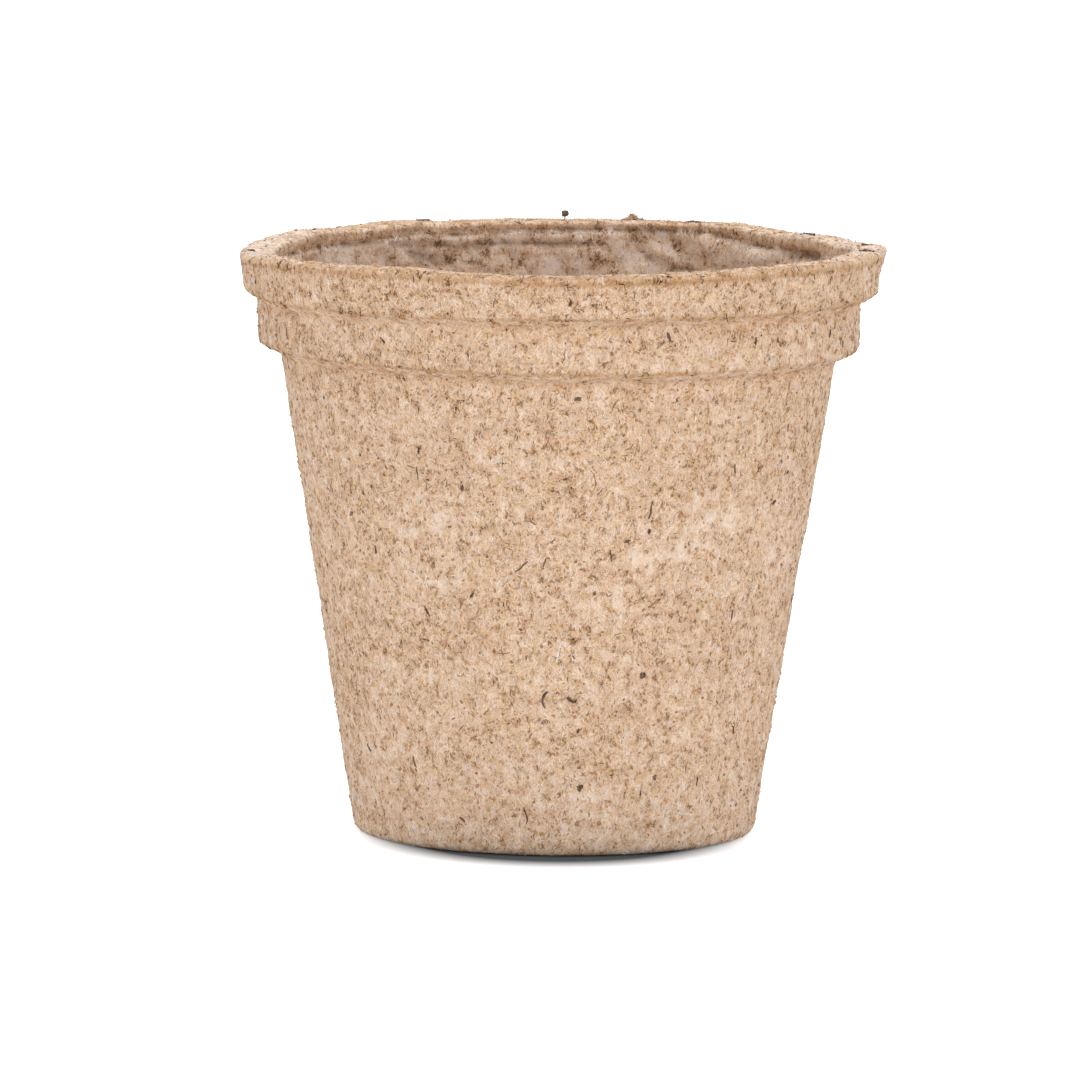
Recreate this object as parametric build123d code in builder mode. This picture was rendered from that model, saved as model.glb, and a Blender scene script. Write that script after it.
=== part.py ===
"""Peat pot: a round plant pot moulded in one piece from peat and wood fibre.

Millimetres, +Z up. The origin is the centre of the base, on the surface that the pot stands on.
Angles round the pot are in degrees from the front, which faces -Y, and grow towards +X.
Bits of bark and stalk are caught in the wall and on the lip, each seated in a pocket of its own shape.
"""

import os
from math import cos, hypot, radians, sin

from build123d import *

os.makedirs("parts", exist_ok=True)

# Outside of the moulded pot, from the base up
base_diameter = 49.3
body_height = 58.9
body_top_diameter = 68.4
collar_height = 6.9
rim_height = 6.7

# How far each band stands out all round from what is under it, and how much it widens to its top
collar_step = 2.8
collar_flare = 0.15
rim_step = 2.1
rim_flare = 0.85

# Each step's underside slants down to its crease, so that the pot leaves its mould
collar_step_drop = 1.2
rim_step_drop = 1.0

# Wall and floor
wall = 1.8
floor = 2.2
collar_wall = 1.6
collar_draft = 0.4
drain_hole_diameter = 10.0

# The middle of the base is raised, so that the pot stands on a ring
base_rise = 0.8
base_rise_diameter = 33.0
base_rise_slope = 2.0

# Rounding of the moulded corners, each laid out as short flats along its arc
foot_radius = 1.3
step_radius = 0.8
lip_outer_radius = 0.5
lip_inner_radius = 0.5
ledge_radius = 0.9
floor_radius = 2.0
flats_per_corner = 2

# Bark chips and slivers: flat flakes, part sunk and part proud
chip_length = 1.0
chip_width = 0.55
chip_sunk = 0.4
chip_proud = 0.2
sliver_length = 2.4
sliver_width = 0.5
sliver_sunk = 0.3
sliver_proud = 0.2

# Straws: thin ribbed stalks, half sunk
straw_length = 2.4
straw_diameter = 0.3
stalk_sides = 6

# Curled stalk: a hook, half sunk
curl_height = 2.0
curl_depth = 0.75
curl_diameter = 0.42

# Crumb that stands on a stalk at the back of the lip
crumb_diameter = 0.65
crumb_height = 0.9
crumb_taper = 24
stalk_diameter = 0.22
stalk_height = 0.35
stalk_root = 0.5

# Fibre tuft on the back of the lip
tuft_length = 3.6
tuft_width = 1.3
tuft_height = 0.6
tuft_sunk = 0.25
tuft_taper = 28

# Outlines of a flake, of the tuft and of the crumb, as shares of their length and width
flake_outline_shares = [(-0.5, -0.1), (-0.28, -0.45), (0.3, -0.5), (0.5, 0.05), (0.2, 0.5), (-0.35, 0.4)]
tuft_outline_shares = [(-0.5, 0), (-0.3, -0.42), (0.05, -0.5), (0.36, -0.34), (0.5, 0.08), (0.25, 0.46), (-0.28, 0.44)]

crumb_outline_shares = [(-0.5, -0.1), (-0.2, -0.46), (0.3, -0.4), (0.5, 0), (0.28, 0.42), (-0.3, 0.4)]

# Body chips: angle, then shares of the body's height, chip length and chip width, then turn from level
body_chip_shares = [
    (-58, 0.94, 0.6, 0.8, 70),
    (-31, 0.85, 0.7, 1.1, 60),
    (-21, 0.78, 1.2, 1.25, 85),
    (-53, 0.70, 0.7, 0.9, 50),
    (-46, 0.63, 0.9, 0.8, 95),
    (-20, 0.55, 0.9, 0.8, 60),
    (-32, 0.51, 1.0, 0.7, 125),
    (-33, 0.45, 0.9, 0.6, -8),
    (-59, 0.20, 0.9, 0.9, 120),
    (-26, 0.072, 0.9, 0.7, -40),
    (-11, 0.085, 0.6, 0.7, 20),
    (4, 0.97, 0.7, 1.1, 0),
    (61, 0.79, 0.7, 1.1, 10),
    (57, 0.73, 0.8, 1.0, 35),
    (21, 0.69, 0.7, 1.0, 60),
    (16, 0.67, 0.7, 1.1, 0),
    (9, 0.56, 0.6, 0.9, 70),
    (22, 0.385, 0.85, 1.5, 30),
    (4, 0.335, 1.2, 1.0, -40),
    (6, 0.27, 0.8, 0.8, 80),
    (7, 0.147, 0.85, 1.5, 55),
    (28, 0.165, 0.7, 1.1, 65),
    (24, 0.133, 1.1, 0.8, 80),
    (86, 0.62, 0.9, 0.9, 75),
    (104, 0.31, 0.8, 1.1, 20),
    (127, 0.80, 1.0, 0.9, 100),
    (146, 0.47, 0.7, 1.2, 0),
    (171, 0.66, 1.1, 0.8, 60),
    (-166, 0.24, 0.8, 1.1, 35),
    (-143, 0.58, 0.9, 0.8, 110),
    (-118, 0.86, 0.7, 1.1, 15),
    (-97, 0.40, 1.0, 0.9, 80),
    (-84, 0.13, 0.8, 1.1, 45),
]

# Straws: angle, then shares of the body's height and straw length, then turn from level
straw_shares = [
    (-32, 0.80, 0.85, 92),
    (-8, 0.616, 0.95, 42),
    (-2.7, 0.625, 0.50, 72),
    (42, 0.81, 0.65, 100),
    (58, 0.886, 0.50, 98),
    (21, 0.735, 1.10, 82),
    (12.4, 0.64, 0.80, 98),
    (47, 0.50, 0.70, 86),
    (-40, 0.185, 0.65, 105),
    (-8, 0.086, 0.95, 100),
    (42, 0.149, 0.55, 90),
    (54, 0.249, 0.55, 115),
    (113, 0.70, 0.90, 80),
    (158, 0.22, 0.80, 65),
    (-152, 0.76, 0.75, 95),
    (-105, 0.17, 0.95, 110),
]

# Collar chips, with the share of the band's own height
collar_chip_shares = [
    (21, 0.82, 1.0, 0.9, 100),
    (-35, 0.62, 0.8, 0.6, 130),
    (-17, 0.40, 0.7, 0.9, 85),
    (40, 0.66, 0.8, 0.6, 88),
    (63, 0.58, 0.9, 0.6, 80),
    (118, 0.50, 0.9, 0.9, 30),
    (-139, 0.55, 0.8, 1.0, 70),
]
rim_chip_shares = [
    (2, 0.42, 0.6, 0.9, 60),
    (-72, 0.35, 0.7, 0.8, 20),
    (152, 0.45, 0.9, 0.9, 110),
]

# Slivers on the lip: angle, share of the lip's width from its inner edge, share of sliver length, turn
lip_sliver_shares = [
    (94, 0.52, 0.8, 30),
    (81, 0.52, 0.6, 60),
    (125, 0.55, 0.8, 5),
    (153, 0.58, 0.9, -8),
    (-125, 0.40, 0.6, 35),
    (-91, 0.55, 0.6, 50),
    (-153, 0.58, 0.7, 6),
]
pale_sliver_angle = -51
pale_sliver_share = 0.42
pale_sliver_length = 2.8
curl_angle = -3
curl_share = 0.334
crumb_angle = 179
crumb_share = 0.66
tuft_angle = 166
tuft_share = 0.62

# Places that follow from the sizes above
pot_height = body_height + collar_height + rim_height
collar_top = body_height + collar_height
collar_foot = body_height + collar_step_drop
rim_foot = collar_top + rim_step_drop
collar_foot_radius = body_top_diameter / 2 + collar_step
collar_top_radius = collar_foot_radius + collar_flare
rim_foot_radius = collar_top_radius + rim_step
rim_radius = rim_foot_radius + rim_flare
body_slope = (body_top_diameter - base_diameter) / 2 / body_height
wall_across = wall * hypot(1, body_slope)
ledge_outer = collar_foot_radius - collar_wall
lip_inner = ledge_outer + collar_draft
lip_width = rim_radius - lip_inner
ledge_height = collar_foot + wall
floor_top = base_rise + floor


def wall_radius(height):
    """Outer radius of the body wall at a height."""
    return base_diameter / 2 + body_slope * height


def round_pot(angle, radius, height):
    """The point at an angle from the front, a distance from the axis and a height."""
    return (radius * sin(radians(angle)), -radius * cos(radians(angle)), height)


def spot_on_band(angle, share, low_radius, low_height, high_radius, high_height):
    """A plane on a tapered band: x runs level to the right, y up the wall and z out of it."""
    radius = low_radius + share * (high_radius - low_radius)
    height = low_height + share * (high_height - low_height)
    slope = (high_radius - low_radius) / (high_height - low_height)
    return Plane(
        origin=round_pot(angle, radius, height),
        x_dir=(cos(radians(angle)), sin(radians(angle)), 0),
        z_dir=round_pot(angle, 1, -slope),
    )


def spot_on_body(angle, share):
    """A plane on the body wall, at a share of the body's height."""
    return spot_on_band(angle, share, base_diameter / 2, 0, body_top_diameter / 2, body_height)


def spot_on_collar(angle, share):
    """A plane on the second collar, at a share of its height."""
    return spot_on_band(angle, share, collar_foot_radius, collar_foot, collar_top_radius, collar_top)


def spot_on_rim(angle, share):
    """A plane on the rim band, at a share of its height."""
    return spot_on_band(angle, share, rim_foot_radius, rim_foot, rim_radius, pot_height)


def spot_on_lip(angle, share):
    """A plane on the flat lip, at a share of its width from the inner edge: x runs level round the pot."""
    return Plane(
        origin=round_pot(angle, lip_inner + share * lip_width, pot_height),
        x_dir=(cos(radians(angle)), sin(radians(angle)), 0),
        z_dir=(0, 0, 1),
    )


def flake(spot, length, width, sunk, proud, turn):
    """Adds one flat flake to the part being built, sunk into the spot and proud of it."""
    with BuildSketch(spot.offset(-sunk)) as outline:
        Polygon(*[(x * length, y * width) for x, y in flake_outline_shares], rotation=turn)
    extrude(outline.sketch, amount=sunk + proud)


def wall_chips(spot_on, rows):
    """Adds the bark chips of one band to the part being built."""
    for angle, share, length_share, width_share, turn in rows:
        length = length_share * chip_length
        width = width_share * chip_width
        flake(spot_on(angle, share), length, width, chip_sunk, chip_proud, turn)


# Dark bark chips in the body wall
with BuildPart() as body_bark_chips:
    wall_chips(spot_on_body, body_chip_shares)
body_bark_chips.part.label = "body_bark_chips"

# Bark chips in the two collars
with BuildPart() as collar_bark_chips:
    wall_chips(spot_on_collar, collar_chip_shares)
    wall_chips(spot_on_rim, rim_chip_shares)
collar_bark_chips.part.label = "collar_bark_chips"

# Straws, each a straight stalk with its axis on the wall's surface
with BuildPart() as body_straws:
    for angle, share, length_share, turn in straw_shares:
        spot = spot_on_body(angle, share)
        along = spot.x_dir * cos(radians(turn)) + spot.y_dir * sin(radians(turn))
        with BuildSketch(Plane(origin=spot.origin, x_dir=spot.z_dir, z_dir=along)):
            RegularPolygon(straw_diameter / 2, stalk_sides)
        extrude(amount=length_share * straw_length / 2, both=True)
body_straws.part.label = "body_straws"

# Curled stalk, a ribbed section swept along a hook that opens to the right
with BuildPart() as curled_stalk:
    with BuildLine(spot_on_body(curl_angle, curl_share)) as hook:
        ThreePointArc((curl_depth, curl_height / 2), (0, 0), (curl_depth / 2, -curl_height / 2))
    with BuildSketch(Plane(origin=hook.line @ 0, z_dir=hook.line % 0)):
        RegularPolygon(curl_diameter / 2, stalk_sides)
    sweep()
curled_stalk.part.label = "curled_stalk"

# Bark slivers lying on the lip
with BuildPart() as rim_bark_slivers:
    for angle, share, length_share, turn in lip_sliver_shares:
        length = length_share * sliver_length
        flake(spot_on_lip(angle, share), length, sliver_width, sliver_sunk, sliver_proud, turn)
rim_bark_slivers.part.label = "rim_bark_slivers"

# Pale wood sliver on the front left of the lip
with BuildPart() as rim_pale_sliver:
    spot = spot_on_lip(pale_sliver_angle, pale_sliver_share)
    flake(spot, pale_sliver_length, sliver_width, sliver_sunk, sliver_proud, 0)
rim_pale_sliver.part.label = "rim_pale_sliver"

# Crumb on its stalk: its widest outline is halfway up, and the stalk's root is in the lip
crumb_spot = spot_on_lip(crumb_angle, crumb_share)
with BuildPart() as rim_crumb:
    with BuildSketch(crumb_spot.offset(-stalk_root)):
        RegularPolygon(stalk_diameter / 2, stalk_sides)
    extrude(amount=stalk_root + stalk_height + crumb_height / 2)
    with BuildSketch(crumb_spot.offset(stalk_height + crumb_height / 2)):
        Polygon(*[(x * crumb_diameter, y * crumb_diameter) for x, y in crumb_outline_shares])
    extrude(amount=crumb_height / 2, both=True, taper=crumb_taper)
rim_crumb.part.label = "rim_crumb"

# Fibre tuft, a low mound on the back of the lip
with BuildPart() as rim_fibre_tuft:
    with BuildSketch(spot_on_lip(tuft_angle, tuft_share).offset(-tuft_sunk)):
        Polygon(*[(x * tuft_length, y * tuft_width) for x, y in tuft_outline_shares])
    extrude(amount=tuft_sunk + tuft_height, taper=tuft_taper)
rim_fibre_tuft.part.label = "rim_fibre_tuft"

caught_pieces = (
    body_bark_chips,
    collar_bark_chips,
    body_straws,
    curled_stalk,
    rim_bark_slivers,
    rim_pale_sliver,
    rim_crumb,
    rim_fibre_tuft,
)

# Corners of the pot's section as radius, height and rounding, up the outside and down the inside
section_corners = [
    (drain_hole_diameter / 2, base_rise, 0),
    (base_rise_diameter / 2 - base_rise_slope, base_rise, 0),
    (base_rise_diameter / 2, 0, 0),
    (base_diameter / 2, 0, foot_radius),
    (body_top_diameter / 2, body_height, 0),
    (collar_foot_radius, collar_foot, step_radius),
    (collar_top_radius, collar_top, 0),
    (rim_foot_radius, rim_foot, step_radius),
    (rim_radius, pot_height, lip_outer_radius),
    (lip_inner, pot_height, lip_inner_radius),
    (ledge_outer, ledge_height, 0),
    (wall_radius(body_height) - wall_across, body_height + wall, ledge_radius),
    (wall_radius(floor_top) - wall_across, floor_top, floor_radius),
    (drain_hole_diameter / 2, floor_top, 0),
]

# The section's outline with true arcs, and the points that lay each arc out as flats
with BuildLine() as rounded_section:
    FilletPolyline(
        *[(radius, height) for radius, height, rounding in section_corners],
        radius=[rounding for radius, height, rounding in section_corners],
        close=True,
    )
section_points = []
for edge in rounded_section.wire().order_edges():
    flats = flats_per_corner if edge.geom_type == GeomType.CIRCLE else 1
    section_points.extend(edge @ (flat / flats) for flat in range(flats))

# The moulded pot, turned about its axis, with a pocket for each piece that it has caught
with BuildPart() as pot_shell:
    with BuildSketch(Plane.XZ):
        with BuildLine():
            Polyline(*section_points, close=True)
        make_face()
    revolve(axis=Axis.Z)
    for piece in caught_pieces:
        add(piece.part, mode=Mode.SUBTRACT)
pot_shell.part.label = "pot_shell"

for piece in (pot_shell, *caught_pieces):
    export_step(piece.part, f"parts/{piece.part.label}.step")
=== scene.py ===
"""Peat pot: the moulded pot with its felted wall, and the bark, straws and fibres caught in it."""

import math

import bpy
import numpy as np
from bpy.props import FloatProperty, FloatVectorProperty, IntProperty, PointerProperty
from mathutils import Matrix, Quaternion, Vector, noise


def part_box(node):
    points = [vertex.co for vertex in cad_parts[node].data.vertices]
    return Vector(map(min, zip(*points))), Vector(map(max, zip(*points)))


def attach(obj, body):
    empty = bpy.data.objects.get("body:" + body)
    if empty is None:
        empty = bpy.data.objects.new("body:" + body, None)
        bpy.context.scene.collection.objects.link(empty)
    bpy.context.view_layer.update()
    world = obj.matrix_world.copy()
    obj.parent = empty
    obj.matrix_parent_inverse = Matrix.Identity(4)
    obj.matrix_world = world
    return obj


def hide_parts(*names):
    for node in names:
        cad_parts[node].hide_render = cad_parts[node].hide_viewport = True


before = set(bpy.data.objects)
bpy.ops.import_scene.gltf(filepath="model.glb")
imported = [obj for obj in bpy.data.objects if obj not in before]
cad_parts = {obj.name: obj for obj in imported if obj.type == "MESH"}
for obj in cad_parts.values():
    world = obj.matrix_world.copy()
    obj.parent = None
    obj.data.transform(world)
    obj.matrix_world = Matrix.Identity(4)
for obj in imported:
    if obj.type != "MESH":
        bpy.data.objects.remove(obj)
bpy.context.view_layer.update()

bl_info = {
    "name": "Peat Pot",
    "version": (1, 0, 0),
    "blender": (4, 5, 0),
    "location": "View3D > Sidebar > Peat Pot",
    "description": "Round plant pot moulded from peat and wood fibre, with bark caught in its wall",
    "category": "Add Mesh",
}

MM = 0.001
POT_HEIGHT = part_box("pot_shell")[1].z

# Section of the pot in millimetres: radius, height, rounding, and the spacing of rows up to the next corner
SECTION_CORNERS = [
    (5.0, 0.8, 0.25, 1.9),
    (14.5, 0.8, 0.6, 0.9),
    (16.5, 0.0, 0.6, 1.2),
    (24.65, 0.0, 1.3, 0.6),
    (34.2, 58.9, 0.4, 0.5),
    (37.0, 60.1, 0.8, 0.5),
    (37.15, 65.8, 0.4, 0.45),
    (39.25, 66.8, 0.8, 0.42),
    (40.1, 72.5, 0.4, 0.42),
    (35.8, 72.5, 0.5, 0.45),
    (35.4, 61.9, 0.9, 0.6),
    (32.38, 60.7, 0.9, 2.2),
    (23.3, 3.0, 2.0, 2.6),
    (5.0, 3.0, 0.5, 1.1),
]

# Outer face of the wall: height and radius in millimetres, and how far its outward direction dips
WALL_PROFILE = [(0.0, 24.65), (58.9, 34.2), (60.1, 37.0), (65.8, 37.15), (66.8, 39.25), (72.5, 40.2)]
WALL_DIP = np.array([0, 0, -0.16])

# How far the lip has settled from its level, in millimetres, by the angle from the front towards the right
LIP_SETTLING = [
    (-180, 0.0), (-165, 0.0), (-157, -0.25), (-150, 0.08), (-135, -0.35), (-122, -0.1), (-110, -0.6),
    (-98, -0.85), (-88, -1.0), (-76, -0.85), (-62, -0.5), (-45, -0.15), (-30, 0.0), (-14, -0.12), (0, -0.32),
    (15, -0.15), (30, 0.1), (46, 0.3), (63, 0.25), (80, 0.35), (90, 0.5), (98, 0.1), (107, -0.4), (120, -0.1),
    (133, -0.25), (145, 0.35), (158, 0.1), (180, 0.0),
]

# How far the lower edges of the rim and the collar have lifted, and how far the rim has moved outwards
RIM_FOOT_LIFT = [
    (-180, 0), (-90, 0.5), (-60, 0.0), (-35, 0.0), (0, 0.42), (42, 0.33), (60, 0.4), (90, 0.75), (180, 0),
]
COLLAR_FOOT_LIFT = [
    (-180, 0), (-90, 0.45), (-39, 0.4), (0, 0.16), (19, 0.16), (41, 0.25), (63, 0.1), (90, 0.45), (180, 0),
]
RIM_OUTWARD = [
    (-180, 0), (-130, -0.4), (-90, -0.75), (-50, -0.4), (0, 0.0), (50, 0.0), (90, 0.3), (130, 0.1), (180, 0),
]

# Both lower edges: the table of the lift, the height of the edge and the least radius that moves
FOOT_LIFTS = [(RIM_FOOT_LIFT, 66.4, 36.3), (COLLAR_FOOT_LIFT, 59.7, 33.3)]

# Height at which the pale lip ends on the inside and the rough inner face begins, by angle
INNER_EDGE = [
    (-180, 71.45), (-164, 71.3), (-149, 71.35), (-138, 70.8), (-128, 70.7), (-115, 70.9), (-100, 70.6),
    (-80, 71.3), (0, 71.8), (80, 71.0), (100, 70.3), (115, 70.4), (131, 70.7), (140, 70.9), (148, 71.5),
    (156, 71.75), (165, 71.7), (180, 71.45),
]

# Creases inside the lip, pressed in and darkened with painted shade: half width, depth, strength of the
# painted shade line, and points of angle and height
INNER_CREASES = [
    (0.32, 0.5, 0.9, [
        (-100, 70.2), (-115, 70.9), (-128, 70.7), (-138, 70.8), (-149, 71.35), (-164, 71.3), (-180, 71.45),
    ]),
    (0.34, 0.5, 1.0, [
        (180, 71.45), (172, 71.6), (165, 71.7), (156, 71.75), (148, 71.5), (140, 70.9), (131, 70.7),
        (115, 70.4),
    ]),
    (0.3, 0.45, 0.8, [(-143, 70.0), (-152, 69.9), (-160, 69.5), (-168, 69.75), (-180, 69.6)]),
    (0.28, 0.4, 0.8, [(180, 69.6), (176, 69.75), (171, 69.6)]),
    (0.3, 0.4, 0.7, [(-151, 70.0), (-152, 68.4)]),
    (0.5, 0.5, 0.6, [(-146, 68.9), (-157, 67.4)]),
    (0.6, 0.4, 0.8, [(128, 70.2), (112, 69.8), (95, 69.9)]),
    (0.4, 0.35, 0.6, [(162, 68.2), (155, 67.0), (150, 66.4)]),
]

# Brown lines at the edges of the steps outside, and painted shade in the creases under them: height, half
# width and strength
STEP_CREASES = [(66.8, 0.3, 0.9), (60.1, 0.3, 0.9), (65.8, 0.5, 0.42), (58.95, 0.5, 0.48)]

# Paler and browner patches of the felt outside: angle, height, half angle, half height and tint
FELT_PATCHES = [
    (38, 41.5, 12, 2.6, 0.16), (33, 37.5, 9, 2.0, 0.14), (62, 36.0, 7, 5.0, 0.16), (20, 37.0, 8, 2.2, 0.10),
    (-26, 42.0, 9, 2.4, 0.09), (47, 61.5, 20, 1.8, 0.08), (-38, 35.0, 8, 4.0, 0.07), (8, 31.0, 12, 2.0, 0.06),
    (-62, 20.0, 8, 9.0, -0.06), (30, 46.5, 20, 1.1, -0.09), (-8, 54.0, 10, 1.6, -0.08),
    (-25, 27.0, 10, 2.6, -0.05), (5, 44.5, 16, 1.2, -0.06), (60, 55.0, 12, 2.0, -0.05),
    (-45, 57.0, 14, 1.4, -0.07), (14, 12.0, 14, 2.2, -0.05),
]

# Shades of the felt from dark to pale
FELT_SHADES = [
    (0.00, (0.045, 0.028, 0.022)),
    (0.07, (0.13, 0.070, 0.042)),
    (0.16, (0.33, 0.175, 0.090)),
    (0.30, (0.52, 0.325, 0.190)),
    (0.50, (0.655, 0.455, 0.310)),
    (0.72, (0.775, 0.595, 0.450)),
    (1.00, (0.90, 0.775, 0.655)),
]

# Tinges of the fibres, with the share of strands that have each: as they are, yellow, reddish, bleached grey
FELT_HUES = [
    (0.00, (0.975, 1.02, 1.09)),
    (0.42, (1.01, 0.985, 0.80)),
    (0.64, (1.04, 0.945, 0.98)),
    (0.80, (0.93, 1.07, 1.29)),
]
HUE_SHARES = (0.42, 0.22, 0.16, 0.20)
YELLOW_HUE = 1
BLEACHED_HUE = 3

BLEACHED_FELT = (0.78, 0.67, 0.58)
INNER_FELT = (0.5, 0.325, 0.225)
# Colour of the painted shade in the creases inside the lip
INNER_CREASE_SHADE = (0.085, 0.05, 0.035)
PALE_WOOD = ((0.55, 0.36, 0.22), (0.86, 0.72, 0.55))
# Colour of the painted shadow on the floor in front of the foot
PAINTED_FOOT_SHADOW = (0.11, 0.125, 0.14)
FLOOR_WHITE = (0.86, 0.87, 0.89)
WHITE = (1, 1, 1)

# Layers of strokes in the felt's grain: cells to a metre, half width of a stroke, and shift of the pattern
STROKE_LAYERS = (
    (1500.0, 0.00009, 0.013), (1150.0, 0.00008, 0.029), (1700.0, 0.00006, 0.047), (1300.0, 0.00007, 0.071),
)

# Specks of peat: name, share of the number, shades, greatest length and greatest width
SPECK_KINDS = (
    ("dark_specks", 0.11, (0.05, 0.19), 0.0005, 0.0003),
    ("brown_specks", 0.95, (0.16, 0.32), 0.0008, 0.00052),
)
SPECK_SHARES = (("outer", 0.74), ("lip", 0.06), ("inner", 0.14), ("under", 0.06))
FUZZ_SHARES = (("outer", 0.5), ("lip", 0.3), ("inner", 0.2))

# The hooked stalk's curve, from its upper to its lower end, as shares of its half width and half height
HOOK = ((0.95, 0.98), (0.35, 0.92), (-0.35, 0.55), (-0.8, 0.05), (-0.75, -0.35), (-0.3, -0.8), (0.1, -1.0))

# Lamps: name, place, target, size and watts
LAMPS = (
    ("key_lamp", (1.25, -0.82, 0.40), (0, 0, 0.035), (0.9, 0.9), 7.4),
    ("fill_lamp", (-1.1, -0.98, 0.30), (0, 0, 0.035), (1.0, 1.0), 6.7),
    ("low_lamp", (-0.1, -1.2, 0.07), (0, 0, 0.02), (1.2, 0.12), 2.75),
    ("top_lamp", (0.0, 0.1, 1.3), (0, 0, 0.035), (1.0, 1.0), 12.5),
)


def smooth(piece, sharp=None):
    """Shades a piece smooth, but for edges sharper than an angle in degrees where one is given."""
    bpy.ops.object.select_all(action="DESELECT")
    piece.select_set(True)
    bpy.context.view_layer.objects.active = piece
    if sharp:
        bpy.ops.object.shade_smooth_by_angle(angle=math.radians(sharp))
    else:
        bpy.ops.object.shade_smooth()


def named(obj, name):
    """Gives the object and its mesh one name."""
    obj.name = name
    obj.data.name = name
    return obj


def new_object(name, data):
    """An object for a mesh, lamp or camera, placed in the scene."""
    obj = bpy.data.objects.new(name, data)
    bpy.context.scene.collection.objects.link(obj)
    return obj


def finish_piece(obj, node, material):
    """Puts the material on a piece and lets it stand for its CAD node."""
    obj.data.materials.clear()
    obj.data.materials.append(material)
    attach(obj, "root")
    if node:
        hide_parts(node)


def vectors_of(mesh, what="co"):
    """The places of a mesh's vertices, or their normals, as an array."""
    flat = np.empty(len(mesh.vertices) * 3)
    mesh.vertices.foreach_get(what, flat)
    return flat.reshape(-1, 3)


def move_points(mesh, points):
    """Writes an array of points back to the mesh."""
    mesh.vertices.foreach_set("co", np.ascontiguousarray(points, np.float32).ravel())
    mesh.update()


def take_shape(obj):
    """An object's points and faces, after which the object goes."""
    shape = vectors_of(obj.data)
    faces = [tuple(p.vertices) for p in obj.data.polygons]
    bpy.data.objects.remove(obj)
    return shape, faces


def set_attribute(mesh, name, values):
    """Keeps one number for each vertex for the material to read."""
    layer = mesh.attributes.new(name, "FLOAT", "POINT")
    layer.data.foreach_set("value", np.asarray(values, np.float32))


def get_attribute(mesh, name):
    """The numbers that the mesh keeps under a name."""
    values = np.empty(len(mesh.vertices), np.float32)
    mesh.attributes[name].data.foreach_get("value", values)
    return values


def unit(vectors):
    """Rows of vectors, each brought to length one."""
    return vectors / np.linalg.norm(vectors, axis=1)[:, None]


def rise(values, start, span):
    """A slope that is 0 up to its start and 1 past its span."""
    return np.clip((values - start) / span, 0, 1)


def hump(values, middle, width):
    """A smooth hump that is 1 in its middle and fades over its width."""
    return np.exp(-(((values - middle) / width) ** 2))


def looked_up(table, values):
    """Values read from a table of two columns, and between its rows."""
    return np.interp(values, *zip(*table))


def angle_of(points):
    """Angle from the front of each point, in degrees, growing to the right."""
    return np.degrees(np.arctan2(points[:, 0], -points[:, 1]))


def noise_at(points, size, seed=0):
    """Smooth noise from about -1 to 1 at each point, with lumps of about the given size."""
    shift = Vector((seed * 7.31, seed * 3.17, seed * 5.83))
    return np.array([noise.noise(Vector(p) / size + shift) for p in points])


def wall_radius(z):
    """Outer radius of the nominal pot at heights in metres."""
    return looked_up(WALL_PROFILE, z / MM) * MM


def wall_normal(place):
    """Outward direction of the tapered wall at a place."""
    normal = np.array([place[0], place[1], 0]) / math.hypot(place[0], place[1]) + WALL_DIP
    return normal / np.linalg.norm(normal)


def felt_tint_and_painted_light(place):
    """How much paler or browner the felt is at each place outside, as a shift of shade, with painted light
    towards the foot.
    """
    angle = angle_of(place)
    height = place[:, 2] / MM
    tint_and_painted_light = 0.22 * noise_at(place, 0.0012, 10) + 0.025 * noise_at(place, 0.0032, 11)
    tint_and_painted_light += 0.012 * noise_at(place * (1, 1, 2.6), 0.011, 12) - 0.03 * rise(height, 66.4, 0.6)
    # Painted light: the felt is painted paler towards the foot, standing in for light thrown up by the floor
    tint_and_painted_light += 0.05 * rise(24 - height, 0, 18) - 0.01
    broken = 0.6 + 0.9 * noise_at(place, 0.0019, 14)
    for a, z, half_angle, half_height, amount in FELT_PATCHES:
        tint_and_painted_light += amount * broken * hump(angle, a, half_angle) * hump(height, z, half_height)
    return tint_and_painted_light


def feed(tree, socket, value):
    """Links a socket to another one, or sets it to a number, a vector or a colour."""
    if isinstance(value, bpy.types.NodeSocket):
        tree.links.new(value, socket)
    else:
        socket.default_value = (*value, 1) if socket.type == "RGBA" else value


def add_node(tree, kind, *values, settings=None, **named_values):
    """A node whose sockets are fed in order and by name, with underscores for the spaces in a name."""
    node = tree.nodes.new(kind)
    for name, value in (settings or {}).items():
        setattr(node, name, value)
    for socket, value in zip(node.inputs, values):
        feed(tree, socket, value)
    for name, value in named_values.items():
        feed(tree, node.inputs[name.replace("_", " ")], value)
    return node


def calculate(tree, operation, *values, clamp=False):
    """A sum of sockets and numbers."""
    settings = {"operation": operation, "use_clamp": clamp}
    return add_node(tree, "ShaderNodeMath", *values, settings=settings).outputs[0]


def vector_sum(tree, operation, *values):
    """A sum of vectors, which gives a number for dot products and lengths."""
    node = add_node(tree, "ShaderNodeVectorMath", *values, settings={"operation": operation})
    return node.outputs["Value" if operation in ("DOT_PRODUCT", "LENGTH") else "Vector"]


def map_range(tree, value, low, high, to_low=0.0, to_high=1.0):
    """A clamped change of range."""
    node = add_node(
        tree, "ShaderNodeMapRange", Value=value, From_Min=low, From_Max=high, To_Min=to_low, To_Max=to_high
    )
    return node.outputs["Result"]


def mix(tree, factor, first, second, way="MIX", kind="RGBA"):
    """A mix of two colours, or of two numbers where the kind is FLOAT."""
    node = add_node(tree, "ShaderNodeMix", factor, settings={"data_type": kind, "blend_type": way})
    first_input, result = {"FLOAT": (2, 0), "RGBA": (6, 2)}[kind]
    feed(tree, node.inputs[first_input], first)
    feed(tree, node.inputs[first_input + 1], second)
    return node.outputs[result]


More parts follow.
